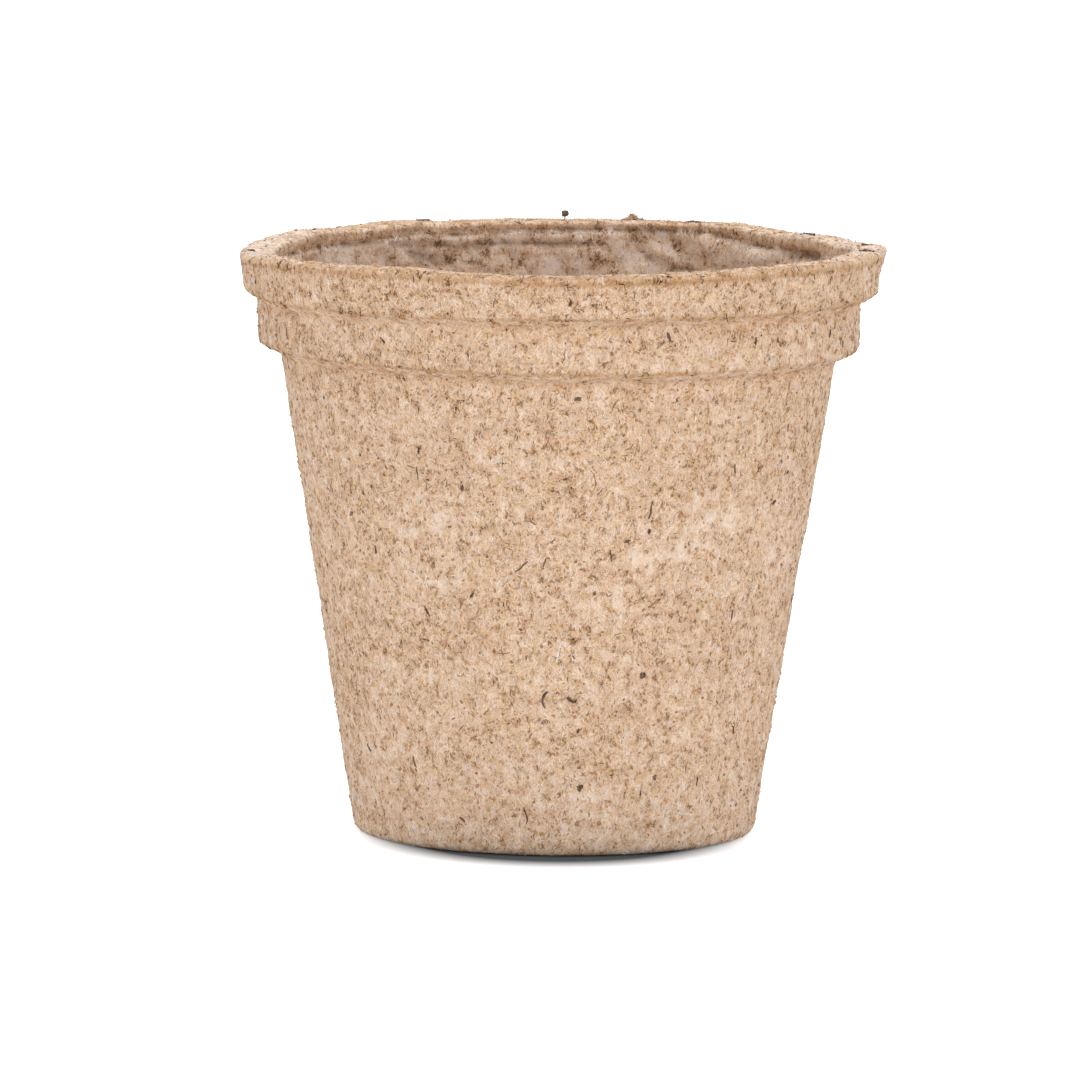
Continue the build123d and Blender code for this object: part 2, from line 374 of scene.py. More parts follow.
def ramp(tree, stops, factor, interpolation="LINEAR"):
    """The colour at a factor on a ramp with the given places and colours."""
    node = add_node(tree, "ShaderNodeValToRGB", factor)
    node.color_ramp.interpolation = interpolation
    elements = node.color_ramp.elements
    while len(elements) < len(stops):
        elements.new(0.5)
    for element, (place, colour) in zip(elements, stops):
        element.position = place
        element.color = (*colour, 1)
    return node.outputs["Color"]


def clouds(tree, place, scale, detail, roughness=0.5, distortion=0.0, dimensions="3D"):
    """Cloudy noise over a place, as a number."""
    node = add_node(
        tree, "ShaderNodeTexNoise", settings={"noise_dimensions": dimensions},
        Vector=place, Scale=scale, Detail=detail, Roughness=roughness, Distortion=distortion,
    )
    return node.outputs["Fac"]


def shared(kept, name, make, *arguments):
    """A material or node group that is made once and then shared."""
    return kept.get(name) or make(name, *arguments)


def new_group(name, numbers, results):
    """A node group over a position and normal, with numbers to set, and its sockets as seen from inside."""
    group = bpy.data.node_groups.new(name, "ShaderNodeTree")
    for label in ("Position", "Normal"):
        group.interface.new_socket(name=label, in_out="INPUT", socket_type="NodeSocketVector")
    for label, start in numbers.items():
        socket = group.interface.new_socket(name=label, in_out="INPUT", socket_type="NodeSocketFloat")
        socket.default_value = start
    for label in results:
        group.interface.new_socket(name=label, in_out="OUTPUT", socket_type="NodeSocketFloat")
    return group, group.nodes.new("NodeGroupInput").outputs, group.nodes.new("NodeGroupOutput").inputs


def loose_strokes_group(name):
    """Node group for one layer of short bent strokes lying in the surface, one in each cell of its size."""
    numbers = {"Cells": 1500.0, "Half Width": 0.00008, "Shift": 0.0}
    group, inside, out = new_group(name, numbers, ("Stroke", "Shade", "Hue"))
    moved = vector_sum(group, "ADD", inside["Position"], inside["Shift"])
    cells = add_node(group, "ShaderNodeTexVoronoi", Vector=moved, Scale=inside["Cells"]).outputs
    away = vector_sum(group, "SUBTRACT", moved, cells["Position"])
    any_way = vector_sum(group, "SUBTRACT", cells["Color"], (0.5, 0.5, 0.5))
    any_way = vector_sum(group, "MULTIPLY", any_way, (1.0, 1.0, 1.7))
    side = vector_sum(group, "NORMALIZE", vector_sum(group, "CROSS_PRODUCT", any_way, inside["Normal"]))
    ahead = vector_sum(group, "CROSS_PRODUCT", side, inside["Normal"])
    across = vector_sum(group, "DOT_PRODUCT", away, side)
    along = vector_sum(group, "DOT_PRODUCT", away, ahead)
    picks = add_node(group, "ShaderNodeSeparateColor", cells["Color"]).outputs
    bend = calculate(group, "MULTIPLY_ADD", picks["Red"], 1600.0, -800.0)
    bow = calculate(group, "MULTIPLY", calculate(group, "MULTIPLY", along, along), bend)
    offset = calculate(group, "ABSOLUTE", calculate(group, "ADD", across, bow))
    share = calculate(group, "DIVIDE", offset, inside["Half Width"])
    edge = calculate(group, "SUBTRACT", 1.0, calculate(group, "POWER", share, 3.0), clamp=True)
    for label, value in (("Stroke", edge), ("Shade", picks["Green"]), ("Hue", picks["Blue"])):
        feed(group, out[label], value)
    return group


def felt_grain_group(name):
    """Node group for pressed fibre: layers of strokes over a mottled ground, pale patches and a height."""
    group, inside, out = new_group(name, {"Grain Size": 2600.0}, ("Shade", "Hue", "Patches", "Height"))
    place = inside["Position"]
    grain = clouds(group, place, inside["Grain Size"], 3.0, 0.65, 1.2)
    shade = calculate(group, "MULTIPLY_ADD", grain, 2.2, -0.72, clamp=True)
    hue = calculate(group, "FRACT", calculate(group, "MULTIPLY", grain, 5.0))
    strokes = shared(bpy.data.node_groups, "loose_strokes", loose_strokes_group)
    for cells, half_width, shift in STROKE_LAYERS:
        layer = add_node(
            group, "ShaderNodeGroup", settings={"node_tree": strokes},
            Position=place, Normal=inside["Normal"], Cells=cells, Half_Width=half_width, Shift=shift,
        ).outputs
        lighter = calculate(group, "MULTIPLY_ADD", layer["Shade"], 0.6, 0.26)
        shade = mix(group, layer["Stroke"], shade, lighter, kind="FLOAT")
        hue = mix(group, layer["Stroke"], hue, layer["Hue"], kind="FLOAT")
    darkening = map_range(group, clouds(group, place, 1500.0, 1.5), 0.54, 0.66, 0.0, 0.34)
    strokes_height = calculate(group, "MULTIPLY", layer["Stroke"], 0.5)
    results = {
        "Shade": calculate(group, "SUBTRACT", shade, darkening, clamp=True),
        "Hue": hue,
        "Patches": clouds(group, place, 140.0, 4.0, 0.55),
        "Height": calculate(group, "ADD", calculate(group, "MULTIPLY", grain, 0.6), strokes_height),
    }
    for label, value in results.items():
        feed(group, out[label], value)
    return group


def own_grain(tree, **numbers):
    """The grain of pressed fibre on a piece's own surface."""
    own = tree.nodes.new("ShaderNodeTexCoord").outputs
    group = shared(bpy.data.node_groups, "pressed_fibre_grain", felt_grain_group)
    sockets = {"Position": own["Object"], "Normal": own["Normal"], **numbers}
    return add_node(tree, "ShaderNodeGroup", settings={"node_tree": group}, **sockets).outputs


def felt_colour(tree, shade, hue, hues):
    """Colour of felt fibres by their shade and their tinge."""
    tinge = ramp(tree, hues, hue, "CONSTANT")
    return mix(tree, 1.0, ramp(tree, FELT_SHADES, shade), tinge, "MULTIPLY")


def attribute_value(tree, name):
    """The number that a piece's mesh keeps under this name."""
    return add_node(tree, "ShaderNodeAttribute", settings={"attribute_name": name}).outputs["Fac"]


def add_relief(tree, shader, height, strength):
    """Lets a height tilt the light on the surface."""
    bump = add_node(tree, "ShaderNodeBump", Strength=strength, Distance=0.1 * MM, Height=height)
    feed(tree, shader["Normal"], bump.outputs["Normal"])


def new_material(name, roughness, specular=0.15):
    """A matt material, its node tree and the sockets of its shader."""
    material = bpy.data.materials.new(name)
    material.use_nodes = True
    shader = material.node_tree.nodes["Principled BSDF"].inputs
    shader["Roughness"].default_value = roughness
    shader["Specular IOR Level"].default_value = specular
    return material, material.node_tree, shader


def felt_ground_material(name, settings):
    """Felt of the wall between the strands: tan strokes, creases with brown stain and painted shade, the
    tint's painted light and shade, and a greyer inside.
    """
    material, tree, shader = new_material(name, 0.97)
    grain = own_grain(tree)
    tint_and_painted_light, inner, crease = (attribute_value(tree, mark) for mark in ("tint_and_painted_light", "inner_face", "crease"))
    shade = map_range(tree, grain["Shade"], 0.0, 1.0, settings.darkest, settings.palest)
    shade = calculate(tree, "ADD", shade, map_range(tree, grain["Patches"], 0.35, 0.65, -0.035, 0.035))
    # The tint also carries painted light and painted shade
    shade = calculate(tree, "ADD", shade, tint_and_painted_light)
    deeper = calculate(tree, "MULTIPLY_ADD", grain["Shade"], 0.4, -0.24)
    shade = calculate(tree, "MULTIPLY_ADD", deeper, inner, shade, clamp=True)
    colour = felt_colour(tree, shade, grain["Hue"], FELT_HUES)
    bleached = map_range(tree, tint_and_painted_light, 0.05, 0.3, 0.0, 0.4)
    bleached = calculate(tree, "MULTIPLY", bleached, map_range(tree, inner, 0.0, 1.0, 1.0, 0.3))
    colour = mix(tree, bleached, colour, BLEACHED_FELT)
    colour = mix(tree, map_range(tree, inner, 0.0, 1.0, 0.0, 0.3), colour, INNER_FELT)
    # Creases: brown stain and painted shade outside, dark painted shade inside
    stain_and_shade_colour = mix(tree, inner, settings.crease_stain_and_shade_colour, INNER_CREASE_SHADE)
    darkening = map_range(tree, crease, 0.0, 1.0, 0.0, 0.92)
    feed(tree, shader["Base Color"], mix(tree, darkening, colour, stain_and_shade_colour))
    add_relief(tree, shader, grain["Height"], 0.5)
    return material


def strand_material(name):
    """Felt strands, whose map holds their shade along one axis and the band of their hue along the other."""
    material, tree, shader = new_material(name, 0.95)
    uv = add_node(tree, "ShaderNodeUVMap", settings={"uv_map": "OFBake"}).outputs["UV"]
    places = add_node(tree, "ShaderNodeSeparateXYZ", uv).outputs
    bands = [(band / len(FELT_HUES), colour) for band, (_, colour) in enumerate(FELT_HUES)]
    colour = felt_colour(tree, places["X"], places["Y"], bands)
    wave = map_range(tree, clouds(tree, uv, 60.0, 2.0, dimensions="2D"), 0.3, 0.7, 0.86, 1.1)
    feed(tree, shader["Base Color"], mix(tree, 1.0, colour, wave, "MULTIPLY"))
    return material


def bark_material(name, dark, light, size=2200.0):
    """Bark, stalk or splinter: dark streaks, paler grain and a rough relief."""
    material, tree, shader = new_material(name, 0.85)
    grain = own_grain(tree, Grain_Size=size)
    feed(tree, shader["Base Color"], ramp(tree, [(0.2, dark), (0.9, light)], grain["Shade"]))
    add_relief(tree, shader, grain["Height"], 0.7)
    return material


def bark(settings):
    """The dark bark that most caught pieces share."""
    return shared(bpy.data.materials, "bark_flake", bark_material, settings.dark, settings.light)


def rounded_section(corners, arc_steps):
    """Points of the closed section: arcs at the corners and evenly spaced rows between them, in metres."""
    points = []
    for index, (radius, height, rounding, spacing) in enumerate(corners):
        here = Vector((radius, height))
        back = (Vector(corners[index - 1][:2]) - here).normalized()
        ahead = (Vector(corners[(index + 1) % len(corners)][:2]) - here).normalized()
        half = back.angle(ahead) / 2
        centre = here + (back + ahead).normalized() * (rounding / math.sin(half))
        first, last = (here + way * (rounding / math.tan(half)) - centre for way in (back, ahead))
        for step in range(arc_steps + 1):
            spoke = first.slerp(last, step / arc_steps).normalized() * rounding
            points.append((centre + spoke, spacing if step == arc_steps else None))
    filled = []
    for index, (point, spacing) in enumerate(points):
        after = points[(index + 1) % len(points)][0]
        filled.append(point)
        if spacing:
            rows = max(1, round((after - point).length / spacing))
            filled.extend(point.lerp(after, row / rows) for row in range(1, rows))
    return [(p.x * MM, p.y * MM) for p in filled]


def displace(obj, name, size, strength, depth, group):
    """Roughens a weighted part of the surface along its normals with cloud noise, and applies it."""
    texture = bpy.data.textures.new(name, "CLOUDS")
    texture.noise_scale = size
    texture.noise_depth = depth
    modifier = obj.modifiers.new(name, "DISPLACE")
    modifier.texture = texture
    modifier.texture_coords = "LOCAL"
    modifier.mid_level = 0.5
    modifier.strength = strength
    modifier.vertex_group = group
    bpy.ops.object.modifier_apply(modifier=modifier.name)


def weight_group(obj, name, weights):
    """A vertex group with one weight for each vertex, in a hundred steps."""
    group = obj.vertex_groups.new(name=name)
    steps = np.round(np.clip(weights, 0, 1) * 100).astype(int)
    for step in np.unique(steps):
        if step:
            group.add(np.nonzero(steps == step)[0].tolist(), step / 100, "REPLACE")


def line_distance(angle, height, points, radius):
    """Distance in millimetres, on the wall, from each place to a line of angle and height points."""
    best = np.full(len(angle), 1e9)
    scale = math.radians(1) * radius
    for (a0, z0), (a1, z1) in zip(points, points[1:]):
        px, pz = (angle - a0) * scale, height - z0
        dx, dz = (a1 - a0) * scale, z1 - z0
        along = np.clip((px * dx + pz * dz) / (dx * dx + dz * dz), 0, 1)
        best = np.minimum(best, np.hypot(px - along * dx, pz - along * dz))
    return best


class ShellSettings(bpy.types.PropertyGroup):
    """Sizes and colours of the moulded pot."""

    steps: IntProperty(name="Steps round", description="Faces round the pot", default=375, min=64)
    waviness: FloatProperty(name="Waviness", description="Height of waves", default=0.0004, unit="LENGTH")
    lumps: FloatProperty(name="Lumps", description="Height of lumps", default=0.0003, unit="LENGTH")
    nap: FloatProperty(name="Nap", description="Height of the finest relief", default=0.00016, unit="LENGTH")
    inner_lumps: FloatProperty(
        name="Inner lumps", description="Height of the lumps inside", default=0.0017, unit="LENGTH"
    )
    darkest: FloatProperty(name="Darkest felt", description="Shade of the deepest gaps", default=0.16)
    palest: FloatProperty(name="Palest felt", description="Shade of the palest fibres", default=0.82)
    # Brown of the stain in the creases outside, which also paints the shade under the steps
    crease_stain_and_shade_colour: FloatVectorProperty(
        name="Crease colour", description="Stain in the creases", default=(0.40, 0.205, 0.08), subtype="COLOR"
    )


class StrandSettings(bpy.types.PropertyGroup):
    """Sizes and numbers of the felt's strands."""

    length: FloatProperty(name="Length", description="Length of a strand", default=0.00072, unit="LENGTH")
    width: FloatProperty(name="Width", description="Width of a strand", default=0.00014, unit="LENGTH")
    wall_count: IntProperty(name="Wall strands", description="Strands on the outside", default=78000)
    lip_count: IntProperty(name="Lip strands", description="Strands on the lip", default=7000)
    inner_count: IntProperty(name="Inner strands", description="Strands on the inside", default=28000)
    under_count: IntProperty(name="Underside strands", description="Strands under the base", default=6000)
    speck_count: IntProperty(name="Specks", description="Small specks of peat", default=9000)
    fuzz_count: IntProperty(name="Fuzz", description="Strands that stand off the surface", default=2600)


class BarkSettings(bpy.types.PropertyGroup):
    """Colours of the bark and stalks."""

    dark: FloatVectorProperty(
        name="Dark bark", description="Darkest of the bark", default=(0.065, 0.038, 0.028), subtype="COLOR"
    )
    light: FloatVectorProperty(
        name="Light bark", description="Lightest of the bark", default=(0.27, 0.165, 0.115), subtype="COLOR"
    )
    straw: FloatVectorProperty(
        name="Straw", description="Colour of the stalks", default=(0.27, 0.16, 0.10), subtype="COLOR"
    )


class StudioSettings(bpy.types.PropertyGroup):
    """Place and view of the studio's camera."""

    distance: FloatProperty(
        name="Camera distance", description="Level distance from the pot's axis", default=1.417, unit="LENGTH"
    )
    eye_height: FloatProperty(name="Eye height", description="Camera height", default=0.199, unit="LENGTH")
    pitch: FloatProperty(
        name="Pitch", description="How far it looks down", default=math.radians(6.56), subtype="ANGLE"
    )
    yaw: FloatProperty(
        name="Yaw", description="How far it looks to the left", default=math.radians(0.0825), subtype="ANGLE"
    )
    roll: FloatProperty(
        name="Roll", description="Lean of the pot to the right", default=math.radians(0.6), subtype="ANGLE"
    )
    field: FloatProperty(
        name="Field of view", description="Angle that the picture takes in", default=math.radians(5.366),
        subtype="ANGLE",
    )


class PEAT_OT_moulded_shell(bpy.types.Operator):
    """Turn the pot's section round its axis and work the felt's relief into it"""

    bl_idname = "peat.moulded_shell"
    bl_label = "Moulded shell"

    def execute(self, context):
        settings = context.scene.peat_shell
        section = rounded_section(SECTION_CORNERS, 4)
        bpy.ops.object.select_all(action="DESELECT")
        bpy.ops.mesh.primitive_circle_add(vertices=len(section), radius=0.03, fill_type="NOTHING")
        shell = named(context.object, "moulded_shell")
        move_points(shell.data, np.array([(0.0, -r, z) for r, z in section]))
        turn = shell.modifiers.new("turn", "SCREW")
        turn.steps = turn.render_steps = settings.steps
        turn.use_merge_vertices = True
        turn.merge_threshold = 0.01 * MM
        bpy.ops.object.modifier_apply(modifier=turn.name)
        bpy.ops.object.mode_set(mode="EDIT")
        bpy.ops.mesh.select_all(action="SELECT")
        bpy.ops.mesh.normals_make_consistent(inside=False)
        bpy.ops.object.mode_set(mode="OBJECT")
        self.roughen(shell, settings)
        self.settle(shell)
        smooth(shell)
        felt = shared(bpy.data.materials, "felt_ground", felt_ground_material, settings)
        finish_piece(shell, "pot_shell", felt)
        return {"FINISHED"}

    def roughen(self, shell, settings):
        """Waves, lumps and nap everywhere but under the standing ring, and stronger lumps inside."""
        points = vectors_of(shell.data)
        inner = self.rough_inside(points)
        high = np.clip((points[:, 2] - 50 * MM) / (12 * MM), 0.3, 1)
        weight_group(shell, "off_ground", rise(points[:, 2], 0.1 * MM, 1.6 * MM))
        weight_group(shell, "inner", inner * high)
        displace(shell, "wide_waves", 0.014, settings.waviness, 1, "off_ground")
        displace(shell, "lumps", 0.0032, settings.lumps, 2, "off_ground")
        displace(shell, "nap", 0.0009, settings.nap, 2, "off_ground")
        displace(shell, "inner_lumps", 0.0024, settings.inner_lumps, 2, "inner")
        displace(shell, "inner_waves", 0.0065, settings.inner_lumps * 0.7, 1, "inner")
        set_attribute(shell.data, "inner_face", inner)
        shell.vertex_groups.clear()

    def rough_inside(self, points):
        """How far each place belongs to the rough inner face, which begins under the pale lip."""
        radius = np.hypot(points[:, 0], points[:, 1])
        edge = looked_up(INNER_EDGE, angle_of(points))
        under_lip = rise(edge + 0.15 - points[:, 2] / MM, 0, 0.3)
        return under_lip * rise(wall_radius(points[:, 2]) - radius, 0.8 * MM, 0.6 * MM)

    def settle(self, shell):
        """Presses the creases in, settles the lip and the steps, and marks the felt's tint with its painted
        light and shade.
        """
        points = vectors_of(shell.data)
        angle = angle_of(points)
        height = points[:, 2] / MM
        radius = np.hypot(points[:, 0], points[:, 1])
        outward = points[:, :2] / radius[:, None]
        inner = rise(wall_radius(points[:, 2]) - radius, 0.6 * MM, 0.8 * MM)
        push, crease = self.inner_creases(points, angle, height, inner)
        points[:, :2] += outward * (push * MM)[:, None]
        crease = np.maximum(crease, self.outer_stain_and_shade(points, angle, height, inner < 0.3))

        out = looked_up(RIM_OUTWARD, angle) * rise(height, 65.9, 1) * (0.55 + 0.45 * rise(height, 66, 6.5))
        out -= 0.3 * hump(height, 69.3, 1.8) * hump(angle, 90, 35)
        points[:, :2] += outward * (out * MM)[:, None]
        lift = looked_up(LIP_SETTLING, angle) * rise(height, 67.5, 4.5)
        for table, level, least in FOOT_LIFTS:
            lift += looked_up(table, angle) * hump(height, level, 1.2) * rise(radius / MM, least, 0.6)
        points[:, 2] += lift * MM
        points[:, 2] = np.where(height < 0.05, 0.0, points[:, 2])
        move_points(shell.data, points)
        set_attribute(shell.data, "crease", crease)
        set_attribute(shell.data, "tint_and_painted_light", self.tint_and_painted_light(shell, points, angle, height))

    def inner_creases(self, points, angle, height, inner):
        """Depth in millimetres of the broken creases inside the lip, and darkness of the painted shade in
        them.
        """
        crease = np.zeros(len(points))
        push = np.zeros(len(points))
        near = (inner > 0.3) & (height > 62) & (height < 72.4)
        for half, depth, strength, line in INNER_CREASES:
            for turn in (-360, 0, 360):
                press = hump(line_distance(angle[near] + turn, height[near], line, 35.5), 0, half)
                push[near] += 1.5 * depth * press
                # The dark line of each crease is painted shade
                crease[near] = np.maximum(crease[near], strength * press)
        broken = 0.7 + 0.75 * noise_at(points[near], 0.0012, 6)
        push[near] *= np.clip(broken, 0.2, 1.4)
        crease[near] *= np.clip(broken, 0.15, 1.1)
        return push, crease

    def outer_stain_and_shade(self, points, angle, height, outer):
        """Darkness of the brown lines at the steps, of the painted shade under them, and of the stained edge
        of the lip in front.
        """
        darkening = np.zeros(len(points))
        # Brown lines at the steps' edges, and painted shade in the creases under the steps
        for level, width, strength in STEP_CREASES:
            line = outer & (np.abs(height - level) < 2 * width)
            fade = 0.62 + 0.38 * noise_at(points[line], 0.005, 3) + 0.25 * noise_at(points[line], 0.0015, 4)
            darkening[line] = np.maximum(darkening[line], strength * hump(height[line], level, width) * fade)
        edge = hump(height, 71.75, 0.36) * (0.62 + 0.38 * hump(angle, 20, 26))
        edge = np.maximum(edge, 0.4 * rise(height, 72.1, 0.2)) * rise(85 - np.abs(angle), 0, 12)
        return np.where(outer, np.maximum(darkening, edge), 0)

    def tint_and_painted_light(self, shell, points, angle, height):
        """Paler and browner felt: patches outside, a paler top of the lip at both sides, and mottling inside,
        where the felt is also painted paler overall as painted light and darker in crevices as painted shade.
        """
        tint_and_painted_light = felt_tint_and_painted_light(points)
        rows = (get_attribute(shell.data, "inner_face") > 0.2) & (height > 40)
        inside = points[rows]
        # Painted light: the inside is painted paler overall, with mottling over it
        tint_and_painted_light[rows] += 0.33 + 0.46 * noise_at(inside, 0.0014, 21) + 0.34 * noise_at(inside, 0.0038, 22)
        # Painted shade: dark lines of crevices inside
        crevice_shade = np.clip(1 - np.abs(noise_at(inside, 0.004, 23)) / 0.11, 0, 1)
        tint_and_painted_light[rows] -= 0.55 * crevice_shade * np.clip(0.45 + 1.4 * noise_at(inside, 0.0065, 24), 0, 1)
        return tint_and_painted_light + 0.22 * hump(np.abs(angle), 95, 40) * rise(height, 71.9, 0.4)


class Surface:
    """The finished wall as triangles to lay strands on."""

    def __init__(self):
        mesh = bpy.data.objects["moulded_shell"].data
        mesh.calc_loop_triangles()
        corners = np.empty(len(mesh.loop_triangles) * 3, np.int64)
        mesh.loop_triangles.foreach_get("vertices", corners)
        self.corners = corners.reshape(-1, 3)
        self.points = vectors_of(mesh)
        self.normals = vectors_of(mesh, "normal")
        self.marks = np.stack([get_attribute(mesh, mark) for mark in ("crease", "inner_face", "tint_and_painted_light")])
        a, b, c = (self.points[self.corners[:, k]] for k in range(3))
        across = np.cross(b - a, c - a)
        self.area = np.linalg.norm(across, axis=1) / 2
        up = across[:, 2] / np.maximum(self.area * 2, 1e-12)
        middle = (a + b + c) / 3
        height = middle[:, 2] / MM
        radius = np.linalg.norm(middle[:, :2], axis=1) / MM
        lip = (height > POT_HEIGHT / MM - 2.2) & (up > 0.45)
        under = (height < 1.2) & (up < -0.4) & (radius < 25)
        outer = radius > wall_radius(height * MM) / MM - 0.9
        rest = ~lip & ~under
        self.zones = {"lip": lip, "under": under, "outer": outer & rest, "inner": ~outer & rest}

    def scatter(self, zone, count, dice):
        """Random places on a zone: points, normals, and each one's crease darkness of stain and painted
        shade, inner face, and tint with painted light and shade.
        """
        members = np.nonzero(self.zones[zone])[0]
        share = np.cumsum(self.area[members])
        picked = members[np.searchsorted(share, dice.random(count) * share[-1])]
        u, v = dice.random(count), dice.random(count)
        over = u + v > 1
        u[over], v[over] = 1 - u[over], 1 - v[over]
        weights = np.stack([1 - u - v, u, v], 1)
        rows = self.corners[picked]
        place, normal = (np.einsum("nk,nkd->nd", weights, kept[rows]) for kept in (self.points, self.normals))
        return place, unit(normal), np.einsum("nk,mnk->mn", weights, self.marks[:, rows])

    def scatter_over(self, shares, total, dice):
        """Random places and normals on several zones, each with its share of the total."""
        rows = [self.scatter(zone, int(total * share), dice)[:2] for zone, share in shares]
        return [np.concatenate(columns) for columns in zip(*rows)]

    def drop(self, place, normal):
        """The place on the wall over or under another one."""
        near = self.points[np.argmin(((self.points - place) ** 2).sum(1))]
        return place + normal * ((near - place) @ normal)


def one_strand():
    """The strand that all others are copied from: three sides, two rings and two tips, one unit long."""
    between_rings = 0.46
    bpy.ops.object.select_all(action="DESELECT")
    bpy.ops.mesh.primitive_cylinder_add(vertices=3, radius=1.0, depth=between_rings, end_fill_type="TRIFAN")
    strand = bpy.context.object
    bpy.ops.object.mode_set(mode="EDIT")
    bpy.ops.mesh.select_all(action="DESELECT")
    bpy.ops.object.mode_set(mode="OBJECT")
    for vertex in strand.data.vertices:
        vertex.select = vertex.co.xy.length < 0.01
    bpy.ops.object.mode_set(mode="EDIT")
    bpy.ops.transform.resize(value=(1, 1, 1 / between_rings))
    bpy.ops.mesh.select_all(action="SELECT")
    bpy.ops.mesh.normals_make_consistent(inside=False)
    bpy.ops.object.mode_set(mode="OBJECT")
    return take_shape(strand)


def lay_strands(name, strand, seats, shade, length, width, lift, dice, tilt=0.0, bend=0.14, hue=None):
    """Copies the strand to every seat, turned at random but more often upright, and bent, as one mesh."""
    shape, faces = strand
    place, normal = seats
    count = len(place)
    side = unit(np.cross(normal, dice.normal(size=(count, 3)) * (1.0, 1.0, 2.2)))
    along = unit(np.cross(side, normal) + normal * (tilt * dice.random(count))[:, None])
    sweep = dice.normal(0, bend, count) * length
    arch = 1 - 4 * shape[:, 2] ** 2
    x = np.outer(width / 2, shape[:, 0]) + np.outer(sweep, arch)
    y = np.outer(width * 0.3, shape[:, 1]) + np.outer(lift, arch) - 0.25 * width[:, None]
    z = np.outer(length, shape[:, 2]) + math.tan(tilt * 0.5) * 0.4 * length[:, None]
    points = np.repeat(place[:, None], len(shape), axis=1)
    for axis, reach in ((side, x), (normal, y), (along, z)):
        points += axis[:, None] * reach[:, :, None]
    points = points.reshape(-1, 3)
    points[:, 2] = np.maximum(points[:, 2], 0.02 * MM)

    loops = np.array([v for f in faces for v in f])
    corners = (loops + len(shape) * np.arange(count)[:, None]).ravel()
    sizes = np.tile([len(f) for f in faces], count)
    mesh = bpy.data.meshes.new(name)
    mesh.vertices.add(len(points))
    move_points(mesh, points)
    mesh.loops.add(len(corners))
    mesh.loops.foreach_set("vertex_index", corners.astype(np.int32))
    mesh.polygons.add(len(sizes))
    mesh.polygons.foreach_set("loop_start", (np.cumsum(sizes) - sizes).astype(np.int32))
    mesh.update(calc_edges=True)

    if hue is None:
        hue = dice.choice(len(HUE_SHARES), count, p=HUE_SHARES)
    u = np.clip(shade[:, None] + 0.004 * shape[loops, 0], 0.004, 0.996)
    v = (hue[:, None] + 0.5 + 0.8 * shape[loops, 2]) / len(HUE_SHARES)
    uv = mesh.uv_layers.new(name="OFBake")
    uv.data.foreach_set("uv", np.stack([u, v], 2).astype(np.float32).ravel())
    mesh.polygons.foreach_set("use_smooth", np.ones(len(sizes), bool))
    mesh.update()
    return new_object(name, mesh)


